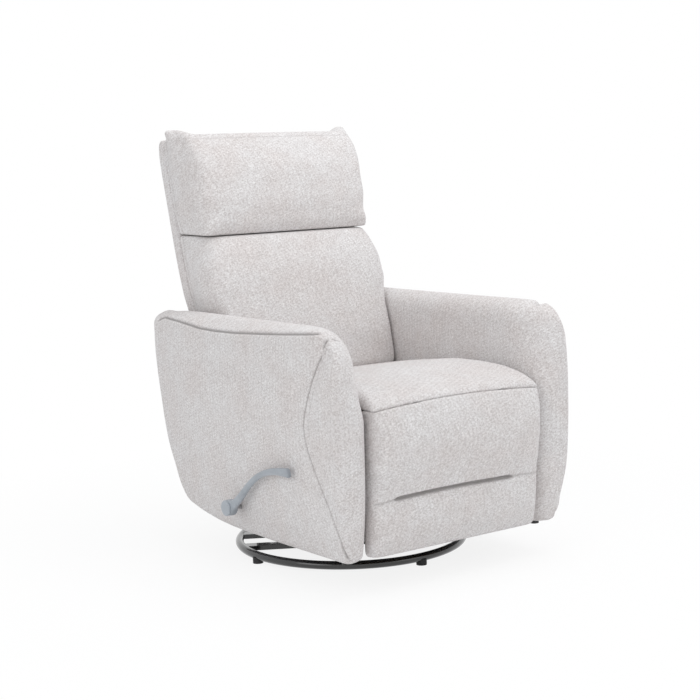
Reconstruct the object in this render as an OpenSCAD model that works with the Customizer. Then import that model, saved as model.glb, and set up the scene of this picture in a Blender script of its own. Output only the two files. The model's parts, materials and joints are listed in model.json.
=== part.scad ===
// Swivel glider nursery chair with a lever footrest and a reclining back.
// Front of the chair is -Y, the sitter's left is +X. The origin lies on the floor, on the swivel axis.

/* [Seat and arms] */
// Clear width between the two arms
bay_w = 514; // [490:2:560]
// Height of the seat cushion's top
seat_top = 480; // [460:2:500]
// How far the seat cushion's nose reaches in front of the swivel axis
seat_front = 455; // [445:1:470]
// How far the seat cushion reaches behind the swivel axis
seat_rear = 102; // [90:1:106]
// Depth of the seat nose that overhangs the footrest pad
nose_t = 42; // [36:1:50]
// Height of the arm's rounded top
arm_top = 629; // [610:1:650]
// Height of the arm's underside at the front
arm_bottom = 82; // [80:1:100]
// Thickness of the arm at its top roll
arm_roll_w = 88; // [80:2:100]
// Thickness of the arm at its widest, half way up
arm_belly_w = 104; // [100:1:120]
// Thickness of the arm at its underside
arm_foot_w = 68; // [64:1:80]
// How far the arm's nose reaches in front of the swivel axis
arm_front = 448; // [440:1:460]
// How far the arm reaches behind the swivel axis at its top
arm_rear = 381; // [370:1:400]
// How far the arm reaches behind the swivel axis at its underside
arm_rear_low = 268; // [250:1:290]
// Height of the arm's underside at the rear
arm_bottom_rear = 134; // [120:1:150]
// Diameter of the small nail glide under each arm end
arm_glide_d = 24; // [16:1:30]

/* [Back] */
// Height of the recline pivot
recline_z = 330; // [324:1:336]
// Distance of the recline pivot behind the swivel axis
recline_y = 230; // [226:1:236]
// Lean of the upright back
back_lean = 15; // [12:0.5:18]
// Length of the back above the recline pivot
back_len = 757; // [740:1:780]
// Length above the pivot at which the headrest begins
headrest_from = 490; // [470:1:510]
// Thickness of the back cushions in front of the pivot line
back_front_t = 142; // [130:1:150]
// Thickness of the back shell behind the pivot line
back_rear_t = 52; // [48:1:60]
// Half width of the headrest at its two raised ears
ear_half_w = 280; // [262:1:290]
// How far the ears rise above the headrest's middle
ear_rise = 13; // [6:1:20]

/* [Footrest] */
// Height of the footrest pad's lower edge when it is folded in
pad_bottom = 84; // [82:1:100]
// Height of the footrest pad's upper edge when it is folded in
pad_top = 435; // [430:1:436]
// How far the pad's front face reaches in front of the swivel axis
pad_front = 459; // [450:1:470]
// How far in front of the swivel axis the footrest board's rear face lies
board_rear = 386; // [385:1:389]
// Thickness of the footrest board
board_t = 12; // [10:1:16]
// Length of the two main footrest links between pivots
link_len = 220; // [218:0.5:222]
// Width of the footrest links
link_w = 18; // [16:1:19]
// Thickness of the footrest links
link_t = 4; // [3:0.5:4]
// Radius of the footrest's pivot pins
pin_r = 5; // [4:0.5:6]

/* [Lever] */
// Length of the lever from its hub to its tip
lever_len = 290; // [260:2:310]
// Thickness of the lever arm across the chair
lever_t = 13; // [10:1:16]
// Radius of the lever's hub
hub_r = 19; // [16:1:24]
// Radius of the torque tube
torque_r = 8; // [6:0.5:9]

/* [Glider] */
// Length of the swing links between pivots
swing_len = 105; // [100:1:108]
// Height of the swing links' upper pivots
swing_z = 195; // [190:1:198]
// Half of the distance between the front and rear swing links
swing_y = 150; // [140:1:155]
// Radius of the swing links' pivot pins
swing_pin_r = 6; // [5:0.5:7]
// Thickness of the steel side plates
plate_t = 4; // [3:0.5:5]

/* [Swivel base] */
// Radius of the base ring's centre line
ring_r = 289; // [270:1:300]
// Radius of the base ring's tube
ring_tube_r = 10.5; // [9:0.25:12]
// Height of the foot pads under the ring
foot_h = 8; // [6:0.5:10]
// Turn of the base's cross bars on the swivel
base_turn = -30; // [-45:1:45]
// Distance of each cross bar from the swivel axis
bar_offset = 62; // [55:1:75]
// Width of the cross bars
bar_w = 30; // [24:1:36]
// Side of the square swivel plates
swivel_w = 190; // [180:1:200]
// Radius of the circle of bearing balls
race_r = 60; // [50:1:66]
// Number of bearing balls
ball_count = 20; // [12:1:26]

/* [Hidden] */
SIDES = [["left", 1], ["right", -1]];

// Running clearance round a pin, and the gap left between soft pieces
fit = 0.05;
soft_gap = 5;
seat_air = 0.3;
$fn = 48;

// Lateral stack of the mechanism, outwards from the side plate
arm_in = bay_w / 2;
cushion_hw = arm_in - soft_gap;
arm_room = 51;
plate_x = arm_in - arm_room;
plane_gap = 4;
control_gap = 3;
control_x = plate_x + plate_t + control_gap;
rear_x = control_x + link_t + plane_gap;
front_x = rear_x + link_t + plane_gap;
tie_x = front_x + link_t + plane_gap;
swing_t = 5;
plate_gap = 5;
tower_gap = 10;
swing_x = plate_x - swing_t - plate_gap;
tower_x = swing_x - tower_gap - plate_t;
head_t = 2;
head_over = 3.5;
head_air = 0.2;

// Directions in a side view: degrees above straight ahead, as [y, z]
function ahead(a) = [-cos(a), sin(a)];
function local(p, a, along, above) = p + along * ahead(a) + above * ahead(a + 90);
function angle_to(p, q) = atan2(q[1] - p[1], p[0] - q[0]);

// Footrest linkage, folded in
torque_axis = [-8, 155];
rear_pivot = [-300, 334];
control_pivot = [-289, 294];
ottoman_pivot = [-372, 240];
pivot_reach = norm(ottoman_pivot - rear_pivot);
elbow = acos(pivot_reach / (2 * link_len));
rear_a = angle_to(rear_pivot, ottoman_pivot) - elbow;
front_a = angle_to(rear_pivot, ottoman_pivot) + elbow;
knee = local(rear_pivot, rear_a, link_len, 0);
control_arm = [-34.6, -38.9];
tie_arm = [-22.3, -26.7];
bracket_arm = [13.6, 38.8];
drive_arm = [35, 18.7];
control_end = local(knee, front_a, control_arm[0], control_arm[1]);
tie_start = local(rear_pivot, rear_a, link_len + tie_arm[0], tie_arm[1]);
tie_end = ottoman_pivot + bracket_arm;
crank_len = 40;
crank_a = -98.5;
crank_end = local(torque_axis, crank_a, crank_len, 0);
drive_end = local(rear_pivot, rear_a, drive_arm[0], drive_arm[1]);
// Play of the eyes that close the loops
control_play = 1.9;
tie_play = 2;
drive_play = 0.7;

// Steel and timber sizes
eye_wall = 7.5;
eye_r = pin_r + eye_wall;
small_eye_r = eye_r - 2;
arm_w = link_w - 4;
tie_w = link_w - 2;
seat_rail_z = 352;
seat_rail_h = 28;
spring_r = 2;
recline_at = [recline_y, recline_z];

module yz_plate(x, t) {
    translate([x, 0, 0])
        rotate([90, 0, 90])
            linear_extrude(t)
                children();
}

module on_side(s) {
    if (s > 0) children();
    else mirror([1, 0, 0]) children();
}

module both_sides() {
    children();
    mirror([1, 0, 0]) children();
}

module bar2d(p, q, w) {
    translate(p)
        rotate(atan2(q[1] - p[1], q[0] - p[0]))
            translate([0, -w / 2])
                square([norm(q - p), w]);
}

module disc2d(p, r) {
    translate(p) circle(r);
}

// A pin along X with a shank and, where asked, a round head at each end
module pin(p, x0, x1, r, head0 = true, head1 = true) {
    translate([x0, p[0], p[1]])
        rotate([0, 90, 0]) {
            cylinder(r = r, h = x1 - x0);
            if (head0) cylinder(r = r + head_over, h = head_t);
            if (head1) translate([0, 0, x1 - x0 - head_t]) cylinder(r = r + head_over, h = head_t);
        }
}

// Moves children drawn against the back's own axes: Y is behind the pivot line, Z runs up the back
module on_back() {
    translate([0, recline_y, recline_z])
        rotate([-back_lean, 0, 0])
            children();
}

// ---- Swivel base ----

ring_z = foot_h + ring_tube_r;
bar_t = 12;
bar_rise = 7.5;
bar_top = ring_z + bar_rise;
lower_plate_t = 3;
race_ball_r = 4;
race_fit = 0.1;
race_rim = 12;
race_boss_r = race_r + race_rim;
race_boss_h = 3;
race_air = 1;
ball_z = bar_top + lower_plate_t + race_boss_h + race_air;
upper_boss_z = ball_z + race_air;
upper_plate_z = upper_boss_z + race_boss_h;
upper_plate_t = 3;
turntable_z = upper_plate_z + upper_plate_t;
centre_pin_r = 9;
centre_head_r = centre_pin_r + 6;
centre_head_h = 4;
centre_nut_h = 4.7;

module base_ring() color("black") {
    translate([0, 0, ring_z])
        rotate_extrude()
            translate([ring_r, 0]) circle(ring_tube_r);
    rotate([0, 0, base_turn])
        for (s = [-1, 1])
            difference() {
                reach = sqrt(pow(ring_r, 2) - pow(bar_offset + bar_w / 2, 2));
                translate([-reach, s * bar_offset - bar_w / 2, bar_top - bar_t])
                    cube([2 * reach, bar_w, bar_t]);
                for (b = [-1, 1])
                    translate([b * swivel_bolt, s * bar_offset, 0])
                        cylinder(r = base_bolt_r + fit, h = 60);
            }
}

bolt_inset = 14;
swivel_bolt = swivel_w / 2 - bolt_inset;
base_bolt_r = 4;
bolt_head_r = 7;
bolt_head_h = 3;
nut_h = 2.5;
foot_pad_r = 13;
foot_grip = 3;
ring_air = 0.2;

module foot_pads() color("dimgray")
    for (a = [0 : 90 : 270])
        rotate([0, 0, a])
            difference() {
                translate([ring_r, 0, 0]) cylinder(r = foot_pad_r, h = ring_z - foot_grip);
                translate([0, 0, ring_z])
                    rotate_extrude()
                        translate([ring_r, 0]) circle(ring_tube_r + ring_air);
            }

module base_bolts() color("silver")
    rotate([0, 0, base_turn])
        for (s = [-1, 1])
            for (b = [-1, 1])
                translate([b * swivel_bolt, s * bar_offset, 0]) {
                    translate([0, 0, bar_top - bar_t - bolt_head_h]) {
                        cylinder(r = base_bolt_r, h = bolt_head_h + bar_t + lower_plate_t);
                        cylinder(r = bolt_head_r, h = bolt_head_h);
                    }
                    translate([0, 0, bar_top + lower_plate_t]) cylinder(r = bolt_head_r, h = nut_h);
                }

module race_groove() {
    translate([0, 0, ball_z])
        rotate_extrude()
            translate([race_r, 0]) circle(race_ball_r + race_fit);
}

module swivel_plate_lower() color("dimgray")
    difference() {
        union() {
            rotate([0, 0, base_turn])
                translate([-swivel_w / 2, -swivel_w / 2, bar_top])
                    cube([swivel_w, swivel_w, lower_plate_t]);
            translate([0, 0, bar_top]) cylinder(r = race_boss_r, h = lower_plate_t + race_boss_h);
        }
        race_groove();
        cylinder(r = centre_pin_r + fit, h = 100);
        rotate([0, 0, base_turn])
            for (s = [-1, 1])
                for (b = [-1, 1])
                    translate([b * swivel_bolt, s * bar_offset, 0])
                        cylinder(r = base_bolt_r + fit, h = 100);
    }

module swivel_balls() color("silver")
    for (k = [0 : ball_count - 1])
        rotate([0, 0, 360 * k / ball_count])
            translate([race_r, 0, ball_z]) sphere(race_ball_r);

turntable_inset = 15;
turntable_bolt = swivel_w / 2 - turntable_inset;

module swivel_plate_upper() color("dimgray")
    difference() {
        union() {
            translate([-swivel_w / 2, -swivel_w / 2, upper_plate_z])
                cube([swivel_w, swivel_w, upper_plate_t]);
            translate([0, 0, upper_boss_z]) cylinder(r = race_boss_r, h = race_boss_h + upper_plate_t);
        }
        race_groove();
        cylinder(r = centre_pin_r + fit, h = 100);
        for (sx = [-1, 1])
            for (sy = [-1, 1])
                translate([sx * turntable_bolt, sy * turntable_bolt, 0])
                    cylinder(r = base_bolt_r + fit, h = 100);
    }

module swivel_pin() color("silver") {
    translate([0, 0, bar_top - centre_nut_h - seat_air]) {
        cylinder(r = centre_pin_r, h = centre_nut_h + seat_air + turntable_z - bar_top + centre_head_h);
        cylinder(r = centre_head_r, h = centre_nut_h);
    }
    translate([0, 0, turntable_z]) cylinder(r = centre_head_r, h = centre_head_h);
}

// ---- Glider ----

channel_h = 25;
channel_w = 40;
channel_wall = 3;
bolt_tail = 2;
tower_top = [[-swing_y, swing_z], [swing_y, swing_z]];
low_pivots = [[-swing_y, swing_z - swing_len], [swing_y, swing_z - swing_len]];

module glider_channels() color("black")
    for (s = [-1, 1])
        difference() {
            channel_y = s * turntable_bolt - channel_w / 2;
            translate([-tower_x, channel_y, turntable_z])
                cube([2 * tower_x, channel_w, channel_h]);
            translate([-tower_x - 1, channel_y + channel_wall, turntable_z + channel_wall])
                cube([2 * tower_x + 2, channel_w - 2 * channel_wall, channel_h]);
            for (b = [-1, 1])
                translate([b * turntable_bolt, s * turntable_bolt, 0])
                    cylinder(r = base_bolt_r + fit, h = 100);
        }

module turntable_bolts() color("silver")
    for (sx = [-1, 1])
        for (sy = [-1, 1])
            translate([sx * turntable_bolt, sy * turntable_bolt, 0]) {
                translate([0, 0, upper_plate_z - bolt_tail])
                    cylinder(r = base_bolt_r, h = bolt_tail + upper_plate_t + channel_wall + bolt_head_h / 2);
                translate([0, 0, turntable_z + channel_wall])
                    cylinder(r = bolt_head_r, h = bolt_head_h);
            }

tower_base_z = turntable_z;
tower_r = 15;

module glider_frame(s) color("black")
    on_side(s)
        yz_plate(tower_x, plate_t)
            difference() {
                union() {
                    translate([-swing_y - tower_r, tower_base_z])
                        square([2 * (swing_y + tower_r), channel_h]);
                    for (p = tower_top) {
                        disc2d(p, tower_r);
                        bar2d(p, [p[0], tower_base_z], 2 * tower_r);
                    }
                }
                for (p = tower_top) disc2d(p, swing_pin_r + fit);
            }

module hang_pins() color("silver")
    both_sides()
        for (p = tower_top)
            pin(p, tower_x - head_t, swing_x + swing_t + head_t + head_air, swing_pin_r);

bumper_r = 9;
bumper_t = 8;
bumper_inset = 62;

module glide_bumpers() color("dimgray")
    both_sides()
        for (s = [-1, 1])
            translate([tower_x + plate_t, s * (swing_y - bumper_inset), tower_base_z + channel_h / 2])
                rotate([0, 90, 0]) cylinder(r = bumper_r, h = bumper_t);

swing_eye_r = swing_pin_r + 8;
swing_w = 20;

module glide_link(s, p_top, p_low) color("dimgray")
    on_side(s)
        yz_plate(swing_x, swing_t)
            difference() {
                union() {
                    disc2d(p_top, swing_eye_r);
                    disc2d(p_low, swing_eye_r);
                    bar2d(p_top, p_low, swing_w);
                }
                disc2d(p_top, swing_pin_r + fit);
                disc2d(p_low, swing_pin_r + fit);
            }

// ---- Chassis ----

stretcher_w = 25;
stretcher_bore = 21;
front_stretcher_at = [-250, 312];
rear_stretcher_at = [170, 312];

leg_hw = 18;
leg_splay = 12;
knuckle_z = 240;
crotch_z = 180;
tongue_hw = 30;
tongue_z = torque_axis[1] - 20;
brow_z = 285;
cheek_z = 280;
cheek_y = swing_y + 60;
rail_over = 20;
window = [80, 60];
window_y = 30;
window_z = 215;
recline_pin_r = pin_r + 3;
recline_pin_in = 9;

// Side plate: a web under the seat rail, a leg down to each swing link, a tongue round the torque tube
module side_plate(s) color("dimgray")
    on_side(s)
        yz_plate(plate_x, plate_t)
            difference() {
                union() {
                    polygon([
                        rear_pivot + [-rail_over, -tongue_hw], [rear_pivot[0] - rail_over, seat_rail_z],
                        [recline_y + leg_splay, seat_rail_z], recline_at + [rail_over, -leg_splay],
                        [recline_y - tongue_hw, brow_z], [swing_y + leg_hw, knuckle_z],
                        low_pivots[1] + [leg_hw, 0], low_pivots[1] - [leg_hw, 0],
                        [swing_y - leg_hw - leg_splay, crotch_z], [torque_axis[0] + tongue_hw, tongue_z],
                        [torque_axis[0] - tongue_hw, tongue_z], [-swing_y + leg_hw + leg_splay, crotch_z],
                        low_pivots[0] + [leg_hw, 0], low_pivots[0] - [leg_hw, 0],
                        [-swing_y - leg_hw, knuckle_z], [-cheek_y, cheek_z]
                    ]);
                    for (p = low_pivots) disc2d(p, leg_hw);
                }
                for (p = low_pivots) disc2d(p, swing_pin_r + fit);
                disc2d(torque_axis, torque_r + fit);
                disc2d(rear_pivot, pin_r + fit);
                disc2d(control_pivot, pin_r + fit);
                disc2d(recline_at, recline_pin_r + fit);
                translate([-window_y - window[0], window_z]) square(window);
                translate([window_y, window_z]) square(window);
            }

module chassis_pins() color("silver")
    both_sides() {
        for (p = low_pivots)
            pin(p, swing_x - head_t - head_air, plate_x + plate_t + head_t, swing_pin_r);
        pin(rear_pivot, plate_x - head_t, rear_x + link_t + head_t + head_air, pin_r);
        pin(control_pivot, plate_x - head_t, control_x + link_t + head_t + head_air, pin_r);
        pin(recline_at, plate_x - recline_pin_in, plate_x + plate_t + head_t, recline_pin_r);
    }

module stretcher(p) {
    difference() {
        translate([-plate_x, p[0] - stretcher_w / 2, p[1] - stretcher_w / 2])
            cube([2 * plate_x, stretcher_w, stretcher_w]);
        translate([-plate_x - 1, p[0] - stretcher_bore / 2, p[1] - stretcher_bore / 2])
            cube([2 * plate_x + 2, stretcher_bore, stretcher_bore]);
    }
}

module front_stretcher() color("black") stretcher(front_stretcher_at);

module rear_stretcher() color("black") stretcher(rear_stretcher_at);

seat_frame_over = 30;
seat_frame_hw = plate_x + seat_frame_over;
seat_frame_front = -362;
seat_frame_rear = 140;
seat_rail_w = 42;

module seat_frame() color("burlywood")
    difference() {
        translate([-seat_frame_hw, seat_frame_front, seat_rail_z])
            cube([2 * seat_frame_hw, seat_frame_rear - seat_frame_front, seat_rail_h]);
        translate([-seat_frame_hw + seat_rail_w, seat_frame_front + seat_rail_w, seat_rail_z - 1])
            cube([
                2 * (seat_frame_hw - seat_rail_w),
                seat_frame_rear - seat_frame_front - 2 * seat_rail_w,
                seat_rail_h + 2
            ]);
    }

spring_count = 5;
spring_waves = 9;
spring_steps = 10;
spring_half_w = 20;
spring_hook = 5;
spring_pitch = 2 * (seat_frame_hw - seat_rail_w) / spring_count;
spring_from = seat_frame_front + seat_rail_w / 2;
spring_to = seat_frame_rear - seat_rail_w / 2;

// Centre line of a sinuous spring along Y at t waves from its front end
function wave(t) = [
    spring_half_w * sin(360 * t),
    spring_from + (spring_to - spring_from) * t / spring_waves - spring_hook * sin(720 * t)
];
function wave_side(t, r) =
    let (d = wave(t + 0.01) - wave(t - 0.01))
    wave(t) + r * [-d[1], d[0]] / norm(d);

module sinuous_spring() {
    n = spring_steps * spring_waves;
    polygon([
        for (k = [0 : n]) wave_side(k / spring_steps, spring_r),
        for (k = [n : -1 : 0]) wave_side(k / spring_steps, -spring_r)
    ]);
}

module seat_springs() color("silver")
    translate([0, 0, seat_rail_z + seat_rail_h])
        linear_extrude(2 * spring_r)
            for (k = [0 : spring_count - 1])
                translate([spring_pitch * (k - (spring_count - 1) / 2), 0])
                    sinuous_spring();

// ---- Soft seat ----

round_fn = 24;
seat_bottom = seat_rail_z + seat_rail_h + 2 * spring_r + seat_air;
nose_bottom = seat_top - nose_t;
crown_r = 20;
edge_r = 7;
lip_r = 5;
crown_drop = 13;
nose_slope = 28;
nose_depth = 60;
block_front = seat_frame_front + 4;
block_inset = 6;
crown_hw = cushion_hw * 0.6;

// A pair of balls at +-x, for hulls
module ball_pair(x, y, z, r) {
    for (s = [-1, 1])
        translate([s * (x - r), y, z]) sphere(r, $fn = round_fn);
}

module seat_cushion() color("gainsboro") {
    edge_top = seat_top - crown_drop;
    inset_hw = cushion_hw - block_inset;
    hull() {
        ball_pair(cushion_hw, -seat_front + lip_r, nose_bottom + lip_r, lip_r);
        ball_pair(cushion_hw, -seat_front + nose_depth, seat_top - nose_slope - edge_r, edge_r);
        ball_pair(crown_hw, -seat_front + nose_depth, edge_top - nose_slope + 2 * crown_drop - edge_r, edge_r);
        for (y = [-seat_front + 3 * nose_depth, seat_rear - crown_r]) {
            ball_pair(cushion_hw, y, edge_top - 2 * edge_r, 2 * edge_r);
            ball_pair(crown_hw, y, seat_top - crown_r, crown_r);
        }
        translate([-inset_hw, block_front, nose_bottom])
            cube([2 * inset_hw, seat_rear - block_front, edge_r]);
    }
    translate([-inset_hw, block_front, seat_bottom])
        cube([2 * inset_hw, seat_rear - block_front, nose_bottom - seat_bottom]);
}

// ---- Arms ----

arm_roll_r = arm_roll_w / 2;
foot_rise = 150;
roll_drop = 130;
arm_belly_low = arm_bottom + foot_rise;
arm_belly_high = arm_top - roll_drop;
nose_r = 42;
foot_r = 12;
rear_r = 20;
top_corner_r = 55;
low_corner_r = 25;
low_corner_y = -arm_front + low_corner_r + 18;
toe_rise = 20;
rear_corner = 55;
rear_lean = 8;
heel_y = -130;
arm_span = arm_front + arm_rear + 20;
roll_c = [arm_in + arm_roll_r, arm_top - arm_roll_r];
belly_c = [arm_in + arm_belly_w, arm_belly_high];
roll_to_belly = belly_c - roll_c;
roll_a = atan2(roll_to_belly[1], roll_to_belly[0]) + acos(arm_roll_r / norm(roll_to_belly));

// Points of an arc about c, from angle a0 to a1
arc_steps = 8;
function arc(c, r, a0, a1) = [
    for (k = [0 : arc_steps]) let (a = a0 + (a1 - a0) * k / arc_steps) c + r * [cos(a), sin(a)]
];

// Front view of the left arm, [x, z]
module arm_section()
    polygon(concat(
        arc([arm_in + foot_r, arm_bottom + foot_r], foot_r, 270, 180),
        arc(roll_c, arm_roll_r, 180, roll_a),
        [belly_c, [arm_in + arm_belly_w, arm_belly_low]],
        arc([arm_in + arm_foot_w - foot_r, arm_bottom + foot_r], foot_r, 0, -90)
    ));

// Plan of the left arm, [x, y]
module arm_plan()
    polygon(concat(
        arc([arm_in + nose_r, -arm_front + nose_r], nose_r, 180, 270),
        arc([arm_in + arm_belly_w - nose_r, -arm_front + nose_r], nose_r, 270, 360),
        arc([arm_in + arm_belly_w - rear_r, arm_rear - rear_r], rear_r, 0, 90),
        arc([arm_in + rear_r, arm_rear - rear_r], rear_r, 90, 180)
    ));

// Side view of an arm, [y, z]
module arm_side()
    polygon(concat(
        arc([low_corner_y, arm_bottom + low_corner_r], low_corner_r, 270, 190),
        [[-arm_front, arm_belly_low + toe_rise]],
        arc([-arm_front + top_corner_r, arm_top - top_corner_r], top_corner_r, 180, 90),
        [
            [arm_rear - rear_corner, arm_top], [arm_rear, arm_top - rear_corner],
            [arm_rear - rear_lean, arm_top - roll_drop], [arm_rear_low, arm_bottom_rear],
            [heel_y, arm_bottom]
        ]
    ));

module arm_body()
    intersection() {
        translate([0, arm_rear + 10, 0])
            rotate([90, 0, 0])
                linear_extrude(arm_span)
                    arm_section();
        linear_extrude(arm_top + 10)
            arm_plan();
        yz_plate(arm_in - 10, arm_belly_w + 20)
            arm_side();
    }

arm_frame_from = 9;
torque_room_r = torque_r + 2;
arm_frame_t = arm_foot_w - arm_frame_from - 13;
// Padding between the timber frame and the arm's outline
arm_pad_front = 70;
arm_pad_low = 28;
arm_pad_rear = 47;
arm_pad_top = 82;
frame_heel_y = heel_y + 30;

// Side outline of the timber frame, drawn in by a given distance
function arm_outline(d) = [
    [-arm_front + arm_pad_front + d, arm_bottom + arm_pad_low + d],
    [frame_heel_y, arm_bottom + arm_pad_low + d],
    [arm_rear_low - arm_pad_rear - d, arm_bottom_rear + arm_pad_low + d],
    [arm_rear - arm_pad_rear - d, arm_top - arm_pad_top - d],
    [-arm_front + arm_pad_top + d, arm_top - arm_pad_top - d]
];

module arm_cover(s) color("gainsboro")
    on_side(s)
        difference() {
            arm_body();
            yz_plate(arm_in + arm_frame_from, arm_frame_t)
                polygon(arm_outline(0));
            translate([arm_in - 1, arm_rail_from - arm_rail_room, arm_rail_z - arm_rail_room])
                cube([
                    arm_frame_from + arm_rail_room,
                    arm_rail_to - arm_rail_from + 2 * arm_rail_room,
                    arm_rail_h + 2 * arm_rail_room
                ]);
            if (s < 0)
                translate([arm_in - 5, torque_axis[0], torque_axis[1]])
                    rotate([0, 90, 0]) cylinder(r = torque_room_r, h = arm_belly_w + 20);
        }

arm_member_w = 34;
arm_post_hw = 22;
arm_rail_from = -30;
arm_rail_to = 205;
arm_rail_z = 286;
arm_rail_h = 38;
arm_rail_room = 6;

// Timber frame of an arm: rim, a middle post round the torque tube and a rail at seat height
module arm_frame(s) color("burlywood")
    on_side(s)
        yz_plate(arm_in + arm_frame_from + seat_air, arm_frame_t - 2 * seat_air)
            difference() {
                polygon(arm_outline(0.5));
                difference() {
                    polygon(arm_outline(arm_member_w));
                    translate([torque_axis[0] - arm_post_hw, 0]) square([2 * arm_post_hw, arm_top]);
                    translate([-arm_front, arm_rail_z - arm_rail_room])
                        square([arm_front + arm_rear, arm_rail_h + 2 * arm_rail_room]);
                }
                disc2d(torque_axis, torque_room_r);
            }

module arm_rails() color("burlywood")
    both_sides()
        translate([plate_x + plate_t, arm_rail_from, arm_rail_z])
            cube([
                arm_in + arm_frame_from + seat_air - plate_x - plate_t,
                arm_rail_to - arm_rail_from,
                arm_rail_h
            ]);

glide_h = 10;
glide_ys = [-arm_front + 68, heel_y - 35];

module arm_glides() color("dimgray")
    both_sides()
        for (y = glide_ys)
            translate([arm_in + arm_foot_w / 2, y, arm_bottom - glide_h])
                cylinder(d = arm_glide_d, h = glide_h);

skirt_t = 16;
skirt_low_in = 6;
skirt_high_in = 69;
skirt_drop = 12;
skirt_low = [arm_rear_low - skirt_low_in, arm_bottom_rear + arm_pad_low];
skirt_high = [arm_rear - skirt_high_in, recline_z - skirt_drop];

module rear_skirt() color("gainsboro")
    yz_plate(-arm_in + seat_air, 2 * (arm_in - seat_air))
        polygon([skirt_low, skirt_low + [skirt_t, 0], skirt_high + [skirt_t, 0], skirt_high]);

// ---- Lever and torque tube ----

lever_gap = 3;
lever_x = arm_in + arm_belly_w + lever_gap;
lever_end = lever_x + lever_t;
hub_boss = 11;
hub_from = lever_x - hub_boss;
cap_t = 3;
cap_inset = 2;

module torque_tube() color("dimgray")
    translate([-lever_end, torque_axis[0], torque_axis[1]])
        rotate([0, 90, 0]) cylinder(r = torque_r, h = lever_end + rear_x + link_t);

// Centre line of the lever from its hub, and half of its width, at t from 0 to 1
lever_bow = [-0.386, 0.369];
lever_reach = [-0.972, 0.39];
function lever_mid(t) = torque_axis + lever_len * (2 * t * (1 - t) * lever_bow + t * t * lever_reach);
lever_slim = 8;
lever_root = 9;
lever_tip = 4.5;
function lever_half_w(t) = lever_slim + lever_root * pow(1 - t, 3) + lever_tip * pow(t, 4);
function lever_edge(t, s) =
    let (d = lever_mid(t + 0.01) - lever_mid(t - 0.01))
    lever_mid(t) + s * lever_half_w(t) * [-d[1], d[0]] / norm(d);

lever_steps = 14;

module lever() color("silver")
    difference() {
        union() {
            yz_plate(-lever_end, lever_t)
                polygon([
                    for (k = [0 : lever_steps]) lever_edge(k / lever_steps, 1),
                    for (k = [lever_steps : -1 : 0]) lever_edge(k / lever_steps, -1)
                ]);
            translate([-lever_end, torque_axis[0], torque_axis[1]])
                rotate([0, 90, 0]) cylinder(r = hub_r, h = lever_end - hub_from);
        }
        translate([-lever_end - 1, torque_axis[0], torque_axis[1]])
            rotate([0, 90, 0]) cylinder(r = torque_r + fit, h = lever_end);
    }

module lever_cap() color("lightgray")
    translate([-lever_end - cap_t, torque_axis[0], torque_axis[1]])
        rotate([0, 90, 0]) cylinder(r = hub_r - cap_inset, h = cap_t);

crank_boss_r = torque_r + 6;

module crank(s) color("dimgray")
    on_side(s) {
        yz_plate(rear_x, link_t)
            difference() {
                union() {
                    disc2d(torque_axis, crank_boss_r);
                    disc2d(crank_end, small_eye_r);
                    bar2d(torque_axis, crank_end, arm_w);
                }
                disc2d(torque_axis, torque_r + fit);
            }
        pin(crank_end, rear_x, front_x + link_t + head_t, pin_r, false, true);
    }

module drive_link(s) color("dimgray")
    on_side(s)
        yz_plate(front_x, link_t)
            difference() {
                union() {
                    disc2d(crank_end, small_eye_r);
                    disc2d(drive_end, eye_r - 1);
                    bar2d(crank_end, drive_end, arm_w);
                }
                disc2d(crank_end, pin_r + fit);
                disc2d(drive_end, pin_r + drive_play);
            }

// ---- Footrest linkage ----

module rear_link(s) color("dimgray")
    on_side(s) {
        yz_plate(rear_x, link_t)
            difference() {
                union() {
                    disc2d(rear_pivot, eye_r);
                    disc2d(knee, eye_r);
                    bar2d(rear_pivot, knee, link_w);
                    disc2d(tie_start, small_eye_r);
                    bar2d(local(rear_pivot, rear_a, link_len + tie_arm[0], 0), tie_start, arm_w);
                    disc2d(drive_end, small_eye_r);
                    bar2d(local(rear_pivot, rear_a, drive_arm[0], 0), drive_end, arm_w);
                }
                disc2d(rear_pivot, pin_r + fit);
            }
        pin(knee, rear_x - head_t, front_x + link_t + head_t, pin_r);
        pin(tie_start, rear_x - head_t, tie_x + link_t + head_t, pin_r);
        pin(drive_end, rear_x, front_x + link_t + head_t, pin_r, false, true);
    }

module control_link(s) color("dimgray")
    on_side(s)
        yz_plate(control_x, link_t)
            difference() {
                union() {
                    disc2d(control_pivot, eye_r);
                    disc2d(control_end, eye_r + 1);
                    bar2d(control_pivot, control_end, link_w);
                }
                disc2d(control_pivot, pin_r + fit);
                disc2d(control_end, pin_r + control_play);
            }

module front_link(s) color("dimgray")
    on_side(s) {
        yz_plate(front_x, link_t)
            difference() {
                union() {
                    disc2d(knee, eye_r);
                    disc2d(ottoman_pivot, eye_r - 1);
                    bar2d(knee, ottoman_pivot, link_w);
                    disc2d(control_end, small_eye_r);
                    bar2d(knee, control_end, tie_w);
                }
                disc2d(knee, pin_r + fit);
                disc2d(ottoman_pivot, pin_r + fit);
            }
        pin(control_end, control_x - head_t, front_x + link_t + head_t, pin_r);
    }

module tie_link(s) color("dimgray")
    on_side(s)
        yz_plate(tie_x, link_t)
            difference() {
                union() {
                    disc2d(tie_start, small_eye_r);
                    disc2d(tie_end, eye_r);
                    bar2d(tie_start, tie_end, tie_w);
                }
                disc2d(tie_start, pin_r + fit);
                disc2d(tie_end, pin_r + tie_play);
            }

bracket_low = ottoman_pivot[1] - 34;
bracket_high = tie_end[1] + 26;
bracket_w = 34;
bracket_d = 12;

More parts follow.
